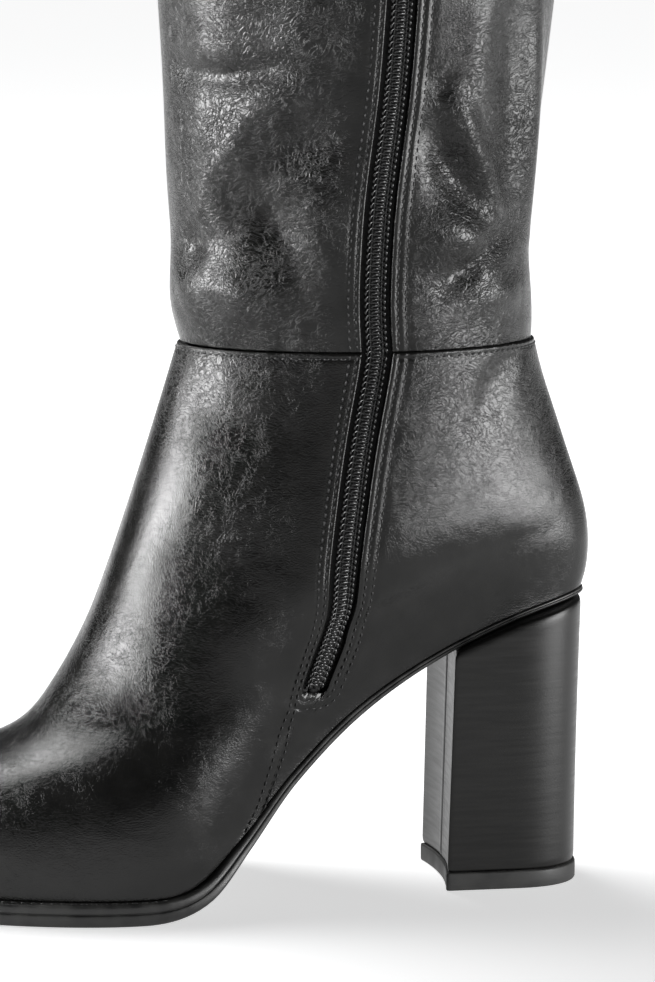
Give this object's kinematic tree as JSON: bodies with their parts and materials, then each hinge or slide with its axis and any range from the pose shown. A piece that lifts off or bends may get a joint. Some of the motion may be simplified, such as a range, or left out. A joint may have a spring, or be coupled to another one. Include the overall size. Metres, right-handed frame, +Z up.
{
  "type": "knee-high boot",
  "caption": "Knee-high zipped leather boot with a rounded pointed toe and a tall covered block heel, hollow and open at the collar.",
  "frame": {"origin": "centre of the heel tip's ground face, on the floor", "axes": "+Z up the shaft, +X towards the back of the heel with the toe at -X, and -Y towards the inner side of the foot, where the zip is"},
  "size_m": [0.2339, 0.1138, 0.4749],
  "materials": {
    "upper_leather": "semi-gloss black, creased grain",
    "shaft_leather": "gloss black, crinkled grain",
    "heel_cover": "satin black",
    "sole_rubber": "semi-gloss black edge",
    "tip_rubber": "matt black",
    "lining": "matt dark lining",
    "zip_tape": "matt black woven tape",
    "zip_coil": "black nylon coil",
    "zip_metal": "black lacquered metal"
  },
  "bodies": {
    "boot": {"foot_upper": "upper_leather", "shaft": "shaft_leather", "outsole": "sole_rubber", "insole": "lining", "heel_block": "heel_cover", "heel_tip": "tip_rubber", "zip_tape_front": "zip_tape", "zip_tape_back": "zip_tape", "zip_chain": "zip_coil", "zip_slider": "zip_metal", "zip_top_stop_front": "zip_metal", "zip_top_stop_back": "zip_metal"},
    "pull_tab": {"zip_pull_tab": "zip_metal"}
  },
  "joints": [
    {"name": "pull_tab_hinge", "type": "hinge", "parent": "boot", "child": "pull_tab", "pos_m": [-0.03465, -0.05645, 0.45431], "axis": [-0.9947, -0.1027, -0.0029], "range_deg": [0, 170]}
  ]
}
